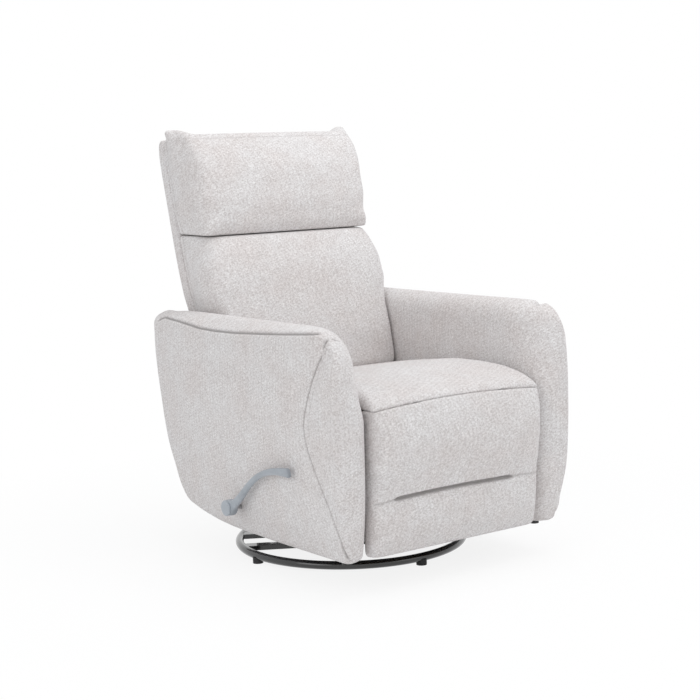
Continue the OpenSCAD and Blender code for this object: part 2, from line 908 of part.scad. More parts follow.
module footrest_bracket(s) color("dimgray")
    on_side(s) {
        yz_plate(rear_x, link_t)
            union() {
                disc2d(ottoman_pivot, eye_r - 1);
                disc2d(tie_end, small_eye_r);
                translate([-board_rear, bracket_low]) square([bracket_d, bracket_high - bracket_low]);
                bar2d(ottoman_pivot, tie_end, link_w);
            }
        translate([rear_x - bracket_w, -board_rear, bracket_low])
            cube([bracket_w, link_t, bracket_high - bracket_low]);
        pin(ottoman_pivot, rear_x - head_t, front_x + link_t + head_t, pin_r);
        pin(tie_end, rear_x - head_t, tie_x + link_t + head_t, pin_r);
    }

board_hw = cushion_hw - 10;
board_low = pad_bottom + 6;
board_high = pad_top - 12;

module footrest_board() color("burlywood")
    translate([-board_hw, -board_rear - board_t, board_low])
        cube([2 * board_hw, board_t, board_high - board_low]);

pad_hw = cushion_hw - 2;
pad_r = 22;
pad_top_set = 4;
pad_edge = 3;
pad_back_t = 8;
pad_low_r = 9;
pad_low_y = -pad_front + pad_low_r + 27;
pad_belly = 270;
pad_back_y = -board_rear - board_t - seat_air;

module footrest_pad() color("gainsboro")
    hull() {
        ball_pair(pad_hw, -pad_front + pad_r + pad_top_set, pad_top - pad_r - pad_edge, pad_r);
        ball_pair(pad_hw, -pad_front + pad_r, pad_bottom + pad_belly, pad_r);
        ball_pair(pad_hw - pad_edge, pad_low_y, pad_bottom + pad_low_r, pad_low_r);
        translate([-pad_hw + pad_edge, pad_back_y - pad_back_t, pad_bottom + pad_edge])
            cube([2 * (pad_hw - pad_edge), pad_back_t, pad_top - pad_bottom - 2 * pad_edge]);
    }

// ---- Back, drawn upright about its pivot ----

bracket_gap = 2;
back_bracket_x = plate_x - bracket_gap - plate_t;
stem_w = 26;
stem_z = 64;
flange_low = 46;
flange_h = 140;
back_frame_hw = back_bracket_x;
back_frame_y = 12;
back_frame_t = 24;
back_frame_low = 24;
headrest_top = back_len - ear_rise;
back_frame_top = headrest_top - 20;
back_stile_w = 50;
low_rail_h = 60;
mid_rail_h = 60;
top_rail_h = 50;
mid_rail_z = headrest_from - 40;
back_windows = [
    [back_frame_low + low_rail_h, mid_rail_z],
    [mid_rail_z + mid_rail_h, back_frame_top - top_rail_h]
];
back_split_y = 7.7;

module back_bracket(s) color("dimgray")
    on_side(s)
        on_back()
            yz_plate(back_bracket_x, plate_t)
                difference() {
                    union() {
                        disc2d([0, 0], recline_pin_r + 9);
                        bar2d([0, 0], [back_frame_y + back_frame_t / 2, stem_z], stem_w);
                        translate([back_frame_y, flange_low]) square([back_frame_t, flange_h]);
                    }
                    disc2d([0, 0], recline_pin_r + fit);
                }

module back_frame() color("burlywood")
    on_back()
        difference() {
            translate([-back_frame_hw, back_frame_y, back_frame_low])
                cube([2 * back_frame_hw, back_frame_t, back_frame_top - back_frame_low]);
            for (z = back_windows)
                translate([-back_frame_hw + back_stile_w, 0, z[0]])
                    cube([2 * (back_frame_hw - back_stile_w), 2 * back_frame_t, z[1] - z[0]]);
        }

strap_t = 2.2;
strap_w = 50;
strap_count = 5;
strap_inset = 8;
strap_low = back_frame_low + 80;
strap_pitch = (headrest_from - 110 - strap_w) / strap_count;

module back_springs() color("dimgray")
    on_back()
        for (k = [0 : strap_count - 1])
            translate([
                -back_frame_hw + strap_inset,
                back_frame_y - strap_t - seat_air,
                strap_low + k * strap_pitch
            ])
                cube([2 * (back_frame_hw - strap_inset), strap_t, strap_w]);

shell_low = 18;
shell_r = 16;
shell_top = headrest_top - 4;
shell_cavity_hw = plate_x + plate_t + 4;
shell_bevel = 90;
shell_flare = 4;
shell_top_y = back_split_y + 2 * seat_air + shell_r;

module back_shell() color("gainsboro")
    on_back()
        difference() {
            hull() {
                ball_pair(cushion_hw, back_rear_t - shell_r, shell_low + shell_r, shell_r);
                ball_pair(cushion_hw, back_rear_t - shell_r, shell_top - shell_bevel, shell_r);
                ball_pair(cushion_hw + shell_flare, shell_top_y, shell_top - shell_r, shell_r);
                translate([-cushion_hw, back_split_y + seat_air, shell_low])
                    cube([2 * cushion_hw, 2, shell_top - shell_low - shell_flare]);
            }
            translate([-shell_cavity_hw, 0, shell_low - 1])
                cube([
                    2 * shell_cavity_hw,
                    back_frame_y + back_frame_t + seat_air,
                    back_frame_top + seat_air - shell_low + 1
                ]);
        }

back_low = 62;
back_r = 28;
crease = 5;
crease_in = 8;
back_slab_t = 10;

module back_cushion() color("gainsboro")
    on_back()
        hull() {
            ball_pair(cushion_hw, back_r - back_front_t, back_low + back_r, back_r);
            ball_pair(cushion_hw, back_r + crease_in - back_front_t, headrest_from - crease - back_r, back_r);
            translate([-cushion_hw, back_split_y - back_slab_t, back_low])
                cube([2 * cushion_hw, back_slab_t, headrest_from - crease - back_low]);
        }

head_hw = cushion_hw + 8;
head_r = 26;
head_low_in = 10;
head_full_z = headrest_from + 110;
head_slope_z = headrest_top - 62;
head_slope_in = 22;
head_edge = 6;
ear_y = -55;
ear_r = 12;
ear_root_hw = head_hw * 0.7;
ear_root_y = ear_y - 16;

module headrest() color("gainsboro")
    on_back()
        hull() {
            ball_pair(head_hw, head_r + head_low_in - back_front_t, headrest_from + head_r, head_r);
            ball_pair(head_hw, head_r - back_front_t, head_full_z, head_r);
            ball_pair(head_hw, head_r + head_slope_in - back_front_t, head_slope_z, head_r);
            ball_pair(ear_root_hw, ear_root_y, headrest_top - head_r, head_r);
            ball_pair(ear_half_w, ear_y, back_len - ear_r, ear_r);
            translate([-head_hw + head_edge, back_split_y - back_slab_t, headrest_from])
                cube([2 * (head_hw - head_edge), back_slab_t, headrest_top - headrest_from - head_edge]);
        }

// ---- Drawing ----

base_ring();
foot_pads();
base_bolts();
swivel_plate_lower();
swivel_balls();
swivel_plate_upper();
swivel_pin();
glider_channels();
turntable_bolts();
hang_pins();
glide_bumpers();
chassis_pins();
front_stretcher();
rear_stretcher();
seat_frame();
seat_springs();
seat_cushion();
arm_rails();
arm_glides();
rear_skirt();
torque_tube();
lever();
lever_cap();
footrest_board();
footrest_pad();
back_frame();
back_springs();
back_shell();
back_cushion();
headrest();
for (side = SIDES) {
    glider_frame(side[1]);
    side_plate(side[1]);
    arm_cover(side[1]);
    arm_frame(side[1]);
    crank(side[1]);
    drive_link(side[1]);
    rear_link(side[1]);
    control_link(side[1]);
    front_link(side[1]);
    tie_link(side[1]);
    footrest_bracket(side[1]);
    back_bracket(side[1]);
    glide_link(side[1], tower_top[0], low_pivots[0]);
    glide_link(side[1], tower_top[1], low_pivots[1]);
}
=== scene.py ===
"""Looks of the swivel glider nursery chair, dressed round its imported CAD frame.

X is the sitter's left, -Y the front and Z up. Lengths are in mm until a mesh is made.
"""
import json
import math

import bmesh
import bpy
import numpy as np
from mathutils import Matrix, Vector


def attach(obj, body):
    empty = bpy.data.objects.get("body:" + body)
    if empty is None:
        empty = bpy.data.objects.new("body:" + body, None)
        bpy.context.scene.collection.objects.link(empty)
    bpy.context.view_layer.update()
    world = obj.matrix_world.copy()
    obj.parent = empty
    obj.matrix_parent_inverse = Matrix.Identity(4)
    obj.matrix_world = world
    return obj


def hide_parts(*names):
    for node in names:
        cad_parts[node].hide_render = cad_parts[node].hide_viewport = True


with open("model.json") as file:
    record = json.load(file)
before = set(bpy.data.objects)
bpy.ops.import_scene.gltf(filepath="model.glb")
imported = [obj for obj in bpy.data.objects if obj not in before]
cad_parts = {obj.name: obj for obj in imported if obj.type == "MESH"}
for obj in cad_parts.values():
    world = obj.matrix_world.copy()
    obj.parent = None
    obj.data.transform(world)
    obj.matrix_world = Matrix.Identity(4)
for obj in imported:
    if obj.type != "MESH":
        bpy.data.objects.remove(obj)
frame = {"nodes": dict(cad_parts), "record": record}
bpy.context.scene.view_settings.view_transform = "Standard"
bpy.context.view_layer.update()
MM = 0.001


# ---------------------------------------------------------------- camera and light

AZIMUTH, ELEVATION, ROLL = (math.radians(v) for v in (-36.2, 7.369, -1.75))
TARGET = Vector((9.16, -6.71, 504.56)) * MM
DISTANCE = 4.0201
PICTURE_SIDE, FOCAL_PIXELS, SENSOR = 700, 1572.68, 36

WORLD_LIGHT = 0.74
FLOOR_SIDE = 9
FLOOR_GLOW = 0.86
GLOW_FROM, GLOW_FULL = 0.35, 1.5
LIGHT_AIM = (0, 0, 0.5)
LIGHTS = [
    ("top", (0.5, -0.5, 3.2), 2.4, 34),
    ("front", (1.2, -3.2, 1.8), 2.2, 13),
    ("side", (-3.2, -1.0, 1.5), 2.2, 18),
]


def set_camera():
    level = math.cos(ELEVATION)
    back = Vector((math.sin(AZIMUTH) * level, -math.cos(AZIMUTH) * level, math.sin(ELEVATION)))
    right = Vector((math.cos(AZIMUTH), math.sin(AZIMUTH), 0))
    up = back.cross(right)
    r = right * math.cos(ROLL) + up * math.sin(ROLL)
    u = up * math.cos(ROLL) - right * math.sin(ROLL)
    cam = bpy.data.objects.new("camera", bpy.data.cameras.new("camera"))
    cam.data.sensor_width = SENSOR
    cam.data.lens = FOCAL_PIXELS * SENSOR / PICTURE_SIDE
    cam.data.clip_end = 50
    axes = Matrix((r, u, back)).transposed().to_4x4()
    cam.matrix_world = Matrix.Translation(TARGET + back * DISTANCE) @ axes
    bpy.context.scene.collection.objects.link(cam)
    bpy.context.scene.camera = cam


def area_light(name, at, size, power):
    data = bpy.data.lights.new(name, "AREA")
    data.shape = "DISK"
    data.size = size
    data.energy = power
    o = bpy.data.objects.new(name, data)
    o.location = at
    o.rotation_euler = (Vector(LIGHT_AIM) - Vector(at)).to_track_quat("-Z", "Y").to_euler()
    bpy.context.scene.collection.objects.link(o)


def camera_mask(nodes, links):
    """1 for rays from the camera, from gloss and through glass."""
    path = nodes.new("ShaderNodeLightPath")
    total = path.outputs["Is Camera Ray"]
    for name in ("Is Glossy Ray", "Is Transmission Ray"):
        add = nodes.new("ShaderNodeMath")
        add.operation = "MAXIMUM"
        links.new(total, add.inputs[0])
        links.new(path.outputs[name], add.inputs[1])
        total = add.outputs[0]
    return total


def set_world():
    """Soft light all round, seen as white."""
    world = bpy.data.worlds.new("studio")
    bpy.context.scene.world = world
    world.use_nodes = True
    nodes, links = world.node_tree.nodes, world.node_tree.links
    nodes.clear()
    lit, seen = nodes.new("ShaderNodeBackground"), nodes.new("ShaderNodeBackground")
    lit.inputs["Color"].default_value = (0.96, 0.98, 1.0, 1)
    lit.inputs["Strength"].default_value = WORLD_LIGHT
    seen.inputs["Color"].default_value = (1, 1, 1, 1)
    seen.inputs["Strength"].default_value = 1
    mix, out = nodes.new("ShaderNodeMixShader"), nodes.new("ShaderNodeOutputWorld")
    links.new(camera_mask(nodes, links), mix.inputs[0])
    links.new(lit.outputs[0], mix.inputs[1])
    links.new(seen.outputs[0], mix.inputs[2])
    links.new(mix.outputs[0], out.inputs[0])


def set_floor():
    """Pale floor that keeps the shadow under the chair and fades to white away from it."""
    m = bpy.data.meshes.new("floor")
    corners = [(x * FLOOR_SIDE, y * FLOOR_SIDE, 0) for x, y in ((-1, -1), (1, -1), (1, 1), (-1, 1))]
    m.from_pydata(corners, [], [(0, 1, 2, 3)])
    floor = bpy.data.objects.new("floor", m)
    bpy.context.scene.collection.objects.link(floor)
    mat = bpy.data.materials.new("floor")
    mat.use_nodes = True
    nodes, links = mat.node_tree.nodes, mat.node_tree.links
    nodes.clear()
    diffuse, glow = nodes.new("ShaderNodeBsdfDiffuse"), nodes.new("ShaderNodeEmission")
    diffuse.inputs["Color"].default_value = (0.9, 0.9, 0.9, 1)
    glow.inputs["Strength"].default_value = 1
    mix, out = nodes.new("ShaderNodeMixShader"), nodes.new("ShaderNodeOutputMaterial")
    share = nodes.new("ShaderNodeMath")
    share.operation = "MULTIPLY"
    place, fade = nodes.new("ShaderNodeTexCoord"), nodes.new("ShaderNodeMapRange")
    far = nodes.new("ShaderNodeVectorMath")
    far.operation = "LENGTH"
    links.new(place.outputs["Object"], far.inputs[0])
    links.new(far.outputs["Value"], fade.inputs[0])
    for i, value in enumerate((GLOW_FROM, GLOW_FULL, FLOOR_GLOW, 1.0), 1):
        fade.inputs[i].default_value = value
    links.new(fade.outputs[0], share.inputs[1])
    links.new(camera_mask(nodes, links), share.inputs[0])
    links.new(share.outputs[0], mix.inputs[0])
    links.new(diffuse.outputs[0], mix.inputs[1])
    links.new(glow.outputs[0], mix.inputs[2])
    links.new(mix.outputs[0], out.inputs[0])
    m.materials.append(mat)


set_camera()
set_world()
set_floor()
for light in LIGHTS:
    area_light(*light)


# ---------------------------------------------------------------- materials

class Graph:
    """Short way to wire a node material."""

    def __init__(self, name, **sockets):
        self.mat = bpy.data.materials.new(name)
        self.mat.use_nodes = True
        self.nodes, self.links = self.mat.node_tree.nodes, self.mat.node_tree.links
        self.shader = next(n for n in self.nodes if n.type == "BSDF_PRINCIPLED")
        for key, value in sockets.items():
            self.shader.inputs[key.replace("_", " ")].default_value = value

    def put(self, kind, out=0, ins=None, **props):
        n = self.nodes.new("ShaderNode" + kind)
        for key, value in props.items():
            setattr(n, key, value)
        for key, value in (ins or {}).items():
            socket = n.inputs[key]
            if isinstance(value, bpy.types.NodeSocket):
                self.links.new(value, socket)
            else:
                socket.default_value = value
        return n.outputs[out]

    def math(self, operation, a, b=0.0):
        return self.put("Math", ins={0: a, 1: b}, operation=operation)

    def blend_sum(self, *pairs):
        """Sum of each value times its weight."""
        parts = [self.math("MULTIPLY", value, weight) for value, weight in pairs]
        total = parts[0]
        for part in parts[1:]:
            total = self.math("ADD", total, part)
        return total

    def vector(self, operation, a, b=(0, 0, 0), scale=1.0):
        ins = {0: a, "Scale": scale} if operation == "SCALE" else {0: a, 1: b}
        return self.put("VectorMath", ins=ins, operation=operation)

    def turned(self, vector, scale=(1, 1, 1), rotation=(0, 0, 0)):
        return self.put("Mapping", ins={"Vector": vector, "Scale": scale, "Rotation": rotation})

    def noise(self, vector, scale, detail=2.0, roughness=0.5, distortion=0.0, out="Fac"):
        ins = {"Vector": vector, "Scale": scale, "Detail": detail, "Roughness": roughness}
        return self.put("TexNoise", out, {**ins, "Distortion": distortion})

    def waves(self, vector, scale, direction):
        ins = {"Vector": vector, "Scale": scale}
        return self.put("TexWave", "Fac", ins, wave_type="BANDS", bands_direction=direction)

    def ramp(self, fac, stops):
        n = self.nodes.new("ShaderNodeValToRGB")
        while len(n.color_ramp.elements) < len(stops):
            n.color_ramp.elements.new(0.5)
        for e, (at, color) in zip(n.color_ramp.elements, stops):
            e.position = at
            e.color = (*color, 1)
        self.links.new(fac, n.inputs[0])
        return n.outputs[0]

    def grey(self, fac, lo, hi, a=0.0, b=1.0):
        return self.put("MapRange", ins={0: fac, 1: a, 2: b, 3: lo, 4: hi})

    def mix(self, fac, a, b, blend="MIX"):
        n = self.nodes.new("ShaderNodeMix")
        n.data_type, n.blend_type = "RGBA", blend
        for i, value in ((0, fac), (6, a), (7, b)):
            if isinstance(value, bpy.types.NodeSocket):
                self.links.new(value, n.inputs[i])
            else:
                n.inputs[i].default_value = (*value, 1) if i else value
        return n.outputs[2]

    def to(self, socket, value):
        self.links.new(value, self.shader.inputs[socket])

    def bump(self, height, strength, distance):
        ins = {"Height": height, "Strength": strength, "Distance": distance}
        self.to("Normal", self.put("Bump", ins=ins))


FABRIC_SHADES = [(0.26, (0.53, 0.497, 0.487)), (0.44, (0.642, 0.616, 0.61)), (0.58, (0.70, 0.68, 0.676)),
                 (0.76, (0.815, 0.80, 0.795))]
FABRIC_PATCHES = [(0.35, (0.955, 0.93, 0.92)), (0.62, (1.0, 1.0, 1.0))]
# painted shade: the colour the cloth is darkened towards in its pressed seams and folds
CREASE_SHADE = (0.34, 0.3196, 0.3128)
WARP_SCALE, WEFT_SCALE, YARN_SCALE, FLECK_SCALE, FUZZ_SCALE, CLOUD_SCALE = 38.0, 44.0, 400.0, 520, 900, 9
WOBBLE_SCALE, WOBBLE_REACH = 160, 0.0045


def fabric(name):
    """Nubby woven cloth in greige, with bent yarns and soft patches, and painted shade that darkens the
    cloth along its pressed seams and folds.
    """
    g = Graph(name, Roughness=0.92, Sheen_Weight=0.25, Sheen_Roughness=0.45, Specular_IOR_Level=0.22)
    place = g.put("TexCoord", "Object")
    wobble = g.noise(place, WOBBLE_SCALE, 1.0, out="Color")
    shift = g.vector("SCALE", g.vector("SUBTRACT", wobble, (0.5, 0.5, 0.5)), scale=WOBBLE_REACH)
    bent = g.vector("ADD", place, shift)
    warp = g.waves(g.turned(bent, rotation=(0, 0, -math.pi / 4)), WARP_SCALE, "X")
    weft = g.waves(g.turned(bent, rotation=(0.35, 0.3, 0)), WEFT_SCALE, "Z")
    nub = g.math("MULTIPLY", warp, weft)
    fleck = g.noise(place, FLECK_SCALE, 3.0, 0.65)
    yarn = g.put("TexVoronoi", "Color", {"Vector": bent, "Scale": YARN_SCALE}, feature="F1")
    yarn = g.put("SeparateColor", 0, {0: yarn})
    tone = g.blend_sum((yarn, 0.42), (fleck, 0.58), (g.math("SUBTRACT", nub, 0.35), 0.14))
    patch = g.ramp(g.noise(place, CLOUD_SCALE, 3.0, 0.6), FABRIC_PATCHES)
    worn = g.mix(1.0, g.ramp(tone, FABRIC_SHADES), patch, "MULTIPLY")
    # painted shade in the seams and folds, read from the crease attribute that sew writes
    crease = g.put("Attribute", "Fac", attribute_name="crease")
    g.to("Base Color", g.mix(crease, worn, CREASE_SHADE))
    fuzz = g.noise(place, FUZZ_SCALE, 2.0, 0.6)
    g.bump(g.blend_sum((nub, 0.6), (fleck, 0.7), (fuzz, 0.3)), 0.3, 0.0012)
    return g.mat


def steel(name, color, roughness):
    """Bare metal with a faint grain along its length and cloudy dirt."""
    g = Graph(name, Metallic=1.0)
    place = g.put("TexCoord", "Object")
    smear = g.noise(g.turned(place, (1, 1, 6)), 60, 4.0, 0.6)
    dirt = g.noise(place, 18, 4.0, 0.65)
    g.to("Base Color", g.mix(g.grey(dirt, 0, 1, 0.3, 0.7), tuple(c * 0.82 for c in color), color))
    g.to("Roughness", g.grey(smear, roughness - 0.06, roughness + 0.06, 0.25, 0.75))
    g.bump(smear, 0.08, 0.0004)
    return g.mat


def paint(name, color, roughness, coat=0.0, depth=0.0003):
    """Paint or plastic with orange peel, worn a little paler and rougher in patches."""
    g = Graph(name, Coat_Weight=coat, Coat_Roughness=0.08)
    place = g.put("TexCoord", "Object")
    wear = g.noise(place, 14, 5.0, 0.7)
    pale = tuple(min(1, c * 1.35 + 0.004) for c in color)
    g.to("Base Color", g.mix(g.grey(wear, 0, 1, 0.35, 0.7), color, pale))
    g.to("Roughness", g.grey(wear, roughness - 0.05, roughness + 0.07, 0.3, 0.7))
    g.bump(g.noise(place, 420, 2.0), 0.12, depth)
    return g.mat


def wood(name):
    """Pale plywood, its grain along Y."""
    g = Graph(name, Roughness=0.62)
    place = g.put("TexCoord", "Object")
    rings = g.noise(g.turned(place, (14, 2.2, 14)), 3.0, 6.0, 0.62, 1.2)
    fine = g.noise(g.turned(place, (160, 12, 160)), 3.0, 3.0)
    tone = g.blend_sum((rings, 0.75), (fine, 0.25))
    shades = [(0.3, (0.36, 0.235, 0.13)), (0.5, (0.56, 0.40, 0.245)), (0.7, (0.70, 0.54, 0.36))]
    g.to("Base Color", g.ramp(tone, shades))
    g.bump(tone, 0.2, 0.0008)
    return g.mat


def webbing(name):
    """Black elastic webbing."""
    g = Graph(name, Roughness=0.85)
    place = g.put("TexCoord", "Object")
    weave = g.math("MULTIPLY", g.waves(place, 160.0, "X"), g.waves(place, 160.0, "Z"))
    g.to("Base Color", g.ramp(weave, [(0.2, (0.012, 0.012, 0.014)), (0.9, (0.07, 0.07, 0.075))]))
    g.bump(weave, 0.5, 0.001)
    return g.mat


UPHOLSTERY = fabric("greige_chenille")
LEVER_GREY = paint("lever_grey_plastic", (0.29, 0.315, 0.345), 0.32, 0.2, 0.0002)
BY_SLOT = {
    "gloss_black": paint("gloss_black_paint", (0.008, 0.008, 0.009), 0.16, 0.6),
    "black_steel": paint("satin_black_paint", (0.018, 0.018, 0.018), 0.42),
    "grey_steel": steel("zinc_steel", (0.46, 0.46, 0.47), 0.38),
    "bright_steel": steel("bright_steel", (0.70, 0.70, 0.71), 0.24),
    "black_rubber": paint("black_rubber", (0.016, 0.016, 0.016), 0.75),
    "black_plastic": paint("black_plastic", (0.02, 0.02, 0.02), 0.5),
    "timber": wood("pale_plywood"),
    "upholstery": UPHOLSTERY,
    "webbing": webbing("elastic_webbing"),
    "grey_plastic": LEVER_GREY,
}
for part in frame["record"]["subparts"]:
    node = frame["nodes"][part["node"]]
    node.data.materials.clear()
    node.data.materials.append(BY_SLOT[part["material_slot"]])


# ---------------------------------------------------------------- shapes from fields

def smax(a, b, k):
    """The greater of a and b, rounded where they meet; k sets the radius."""
    h = np.clip(k - np.abs(a - b), 0, None) / k
    return np.maximum(a, b) + h * h * k / 4


def smin(a, b, k):
    """The lesser of a and b, rounded where they meet."""
    return -smax(-a, -b, k)


def step(lo, hi, v):
    """0 at lo and before, 1 at hi and after, smooth between. lo may be the greater."""
    t = np.clip((v - lo) / (hi - lo), 0, 1)
    return t * t * (3 - 2 * t)


def bell(v, at, width):
    """1 at one place, falling away to 0 on both sides."""
    return np.exp(-(((v - at) / width) ** 2))


def curve(v, points):
    """Smooth curve through (v, value) points, by monotone cubic pieces."""
    xs, ys = (np.array(c, float) for c in zip(*sorted(points)))
    d = np.diff(ys) / np.diff(xs)
    m = np.concatenate([[d[0]], np.where(d[:-1] * d[1:] > 0, (d[:-1] + d[1:]) / 2, 0), [d[-1]]])
    v = np.clip(v, xs[0], xs[-1])
    i = np.clip(np.searchsorted(xs, v) - 1, 0, len(d) - 1)
    h = xs[i + 1] - xs[i]
    t = (v - xs[i]) / h
    return ((1 + 2 * t) * (1 - t) ** 2 * ys[i] + t * (1 - t) ** 2 * h * m[i]
            + t * t * (3 - 2 * t) * ys[i + 1] + t * t * (t - 1) * h * m[i + 1])


def surface_net(field, lo, hi, h):
    """Quad mesh of field(x, y, z) = 0 on a lattice of pitch h."""
    lo = np.array(lo, float) - 2 * h
    n = np.ceil((np.array(hi, float) + 2 * h - lo) / h).astype(int) + 1
    grid = np.meshgrid(*(lo[i] + h * np.arange(n[i]) for i in range(3)), indexing="ij")
    v = field(*grid)
    total, count = np.zeros((*(n - 1), 3)), np.zeros(n - 1)
    edges = []
    for axis in range(3):
        one, two = (axis + 1) % 3, (axis + 2) % 3
        start = [slice(None)] * 3
        stop = [slice(None)] * 3
        start[axis], stop[axis] = slice(0, -1), slice(1, None)
        a, b = v[tuple(start)], v[tuple(stop)]
        cross = (a < 0) != (b < 0)
        at = np.argwhere(cross)
        p = lo + h * at
        p[:, axis] += h * a[cross] / (a[cross] - b[cross])
        ring = []
        for d1, d2 in ((0, 0), (-1, 0), (-1, -1), (0, -1)):
            c = at.copy()
            c[:, one] += d1
            c[:, two] += d2
            np.add.at(total, tuple(c.T), p)
            np.add.at(count, tuple(c.T), 1)
            ring.append(c)
        edges.append((ring, a[cross] < 0))
    used = count > 0
    index = np.full(used.shape, -1)
    index[used] = np.arange(used.sum())
    points = total[used] / count[used][:, None]
    quads = []
    for ring, outward in edges:
        q = np.stack([index[tuple(c.T)] for c in ring], 1)
        q[~outward] = q[~outward][:, ::-1]
        quads.append(q)
    quads = np.concatenate(quads)
    for _ in range(4):
        points = relax(points, quads, 0.5)
        points = settle(field, points, h)
    return points, quads


def relax(points, quads, amount):
    """Each point moved towards the mean of its neighbours."""
    total, count = np.zeros_like(points), np.zeros(len(points))
    for i in range(4):
        a, b = quads[:, i], quads[:, (i + 1) % 4]
        for s, e in ((a, b), (b, a)):
            np.add.at(total, s, points[e])
            np.add.at(count, s, 1)
    return points + amount * (total / count[:, None] - points)


def settle(field, points, h):
    """Points moved on to the surface where field is 0."""
    f = field(*points.T)
    g = np.stack([(field(*(points + d).T) - field(*(points - d).T)) / 2 for d in np.eye(3)], 1)
    move = f[:, None] * g / np.maximum((g * g).sum(1), 0.05)[:, None]
    far = np.linalg.norm(move, axis=1)
    return points - move * np.minimum(1, h / np.maximum(far, 1e-9))[:, None]


def normals(points, quads):
    """Outward unit normal at each point."""
    a, b, c, d = (points[quads[:, i]] for i in range(4))
    n = np.cross(c - a, d - b)
    total = np.zeros_like(points)
    for i in range(4):
        np.add.at(total, quads[:, i], n)
    return total / np.maximum(np.linalg.norm(total, axis=1), 1e-12)[:, None]


def to_line(p, line):
    """Distance from 2-D points to a polyline, and how far along it the nearest place is."""
    line = np.array(line, float)
    best, along = np.full(len(p), 1e9), np.zeros(len(p))
    run = 0.0
    for a, b in zip(line[:-1], line[1:]):
        d = b - a
        length = np.linalg.norm(d)
        t = np.clip(((p - a) @ d) / length ** 2, 0, 1)
        dist = np.linalg.norm(p - a - t[:, None] * d, axis=1)
        closer = dist < best
        best[closer], along[closer] = dist[closer], run + t[closer] * length
        run += length
    return best, along


def mesh_object(name, points, quads, material):
    m = bpy.data.meshes.new(name)
    m.vertices.add(len(points))
    m.vertices.foreach_set("co", (np.asarray(points) * MM).astype(np.float32).ravel())
    m.loops.add(quads.size)
    m.loops.foreach_set("vertex_index", quads.ravel().astype(np.int32))
    m.polygons.add(len(quads))
    m.polygons.foreach_set("loop_start", np.arange(0, quads.size, quads.shape[1], dtype=np.int32))
    m.polygons.foreach_set("use_smooth", np.full(len(quads), True))
    m.update(calc_edges=True)
    m.validate()
    m.materials.append(material)
    o = bpy.data.objects.new(name, m)
    bpy.context.scene.collection.objects.link(o)
    return o


def soft_piece(name, points, quads, body, node, fill, carve=None):
    """A padded cover in place of one node.

    carve(points, normals) gives how near each point is to a seam, and how far it moves along its normal.
    """
    o = mesh_object(name, points, quads, UPHOLSTERY)
    if carve:
        sew(o, carve)
    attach(o, body)
    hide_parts(node)


def hard_piece(name, field, lo, hi, pitch, node):
    """A moulded piece of the lever, in place of one node."""
    o = mesh_object(name, *surface_net(field, lo, hi, pitch), LEVER_GREY)
    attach(o, "lever_shaft")
    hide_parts(node)


def read_vectors(rows, key):
    data = np.empty(len(rows) * 3, np.float32)
    rows.foreach_get(key, data)
    return data.reshape(-1, 3).astype(float)


def coordinates(mesh):
    return read_vectors(mesh.vertices, "co")


def vertex_normals(mesh):
    return read_vectors(mesh.vertex_normals, "vector")


SEW_REACH = 13.0
# press depth that would give full painted shade, and the cap on how much painted shade is applied
CREASE_DEPTH, CREASE_DARKEST = 5, 0.75


def sew(o, carve):
    """Finer faces along the seams of a cover, then the seams themselves pressed in, with painted shade
    stored along them as the crease attribute.
    """
    near, _ = carve(coordinates(o.data) / MM, vertex_normals(o.data))
    bm = bmesh.new()
    bm.from_mesh(o.data)
    bm.verts.ensure_lookup_table()
    close = near < SEW_REACH
    edges = [e for e in bm.edges if close[e.verts[0].index] and close[e.verts[1].index]]
    bmesh.ops.subdivide_edges(bm, edges=edges, cuts=2, use_grid_fill=True)
    bm.to_mesh(o.data)
    bm.free()
    p, n = coordinates(o.data), vertex_normals(o.data)
    _, push = carve(p / MM, n)
    o.data.vertices.foreach_set("co", (p + n * push[:, None] * MM).astype(np.float32).ravel())
    # painted shade: the cloth darkened where a seam is pressed in, more where it is deeper
    shade = o.data.attributes.new("crease", "FLOAT", "POINT")
    dark = np.clip(-push / CREASE_DEPTH, 0, CREASE_DARKEST)
    shade.data.foreach_set("value", dark.astype(np.float32))
    o.data.polygons.foreach_set("use_smooth", np.full(len(o.data.polygons), True))
    o.data.update()


SHRUNK, SWELL_CAP, SWELL_FRAMES = 3.0, 5.0, 20


def inflate(points, quads, held):
    """Cloth blown up between its held places, where held is 1, from a slightly smaller shape.

    It starts SHRUNK inside the first shape and ends within SWELL_CAP of it.
    """
    loose = 1 - held
    for _ in range(6):
        loose = np.minimum(1 - held, relax(loose[:, None], quads, 0.7)[:, 0])
    small = points - normals(points, quads) * (SHRUNK * loose)[:, None]
    o = mesh_object("swelling", small, quads, UPHOLSTERY)
    group = o.vertex_groups.new(name="held")
    group.add([int(i) for i in np.flatnonzero(held > 0.5)], 1.0, "REPLACE")
    cloth = o.modifiers.new("swell", "CLOTH")
    c = cloth.settings
    c.quality = 4
    c.mass = 0.4
    c.tension_stiffness = c.compression_stiffness = 12
    c.shear_stiffness = 6
    c.bending_stiffness = 0.7
    c.use_pressure = True
    c.uniform_pressure_force = 4
    c.vertex_group_mass = "held"
    c.shrink_min = -0.012
    c.effector_weights.gravity = 0
    cloth.collision_settings.use_collision = False
    for frame_number in range(1, SWELL_FRAMES + 1):
        bpy.context.scene.frame_set(frame_number)
    swollen = o.evaluated_get(bpy.context.evaluated_depsgraph_get())
    move = coordinates(swollen.data) / MM - points
    far = np.linalg.norm(move, axis=1)
    bpy.data.objects.remove(o)
    bpy.context.scene.frame_set(1)
    return points + move / (1 + far / SWELL_CAP)[:, None]


VOXEL = 6.0

# ---------------------------------------------------------------- arms

ARM_IN, BEDDING = 257.0, 0.5
ARM_LO, ARM_HI = (245, -455, 78), (380, 390, 644)
NEAR_CROWN, FAR_CROWN = 617, 634
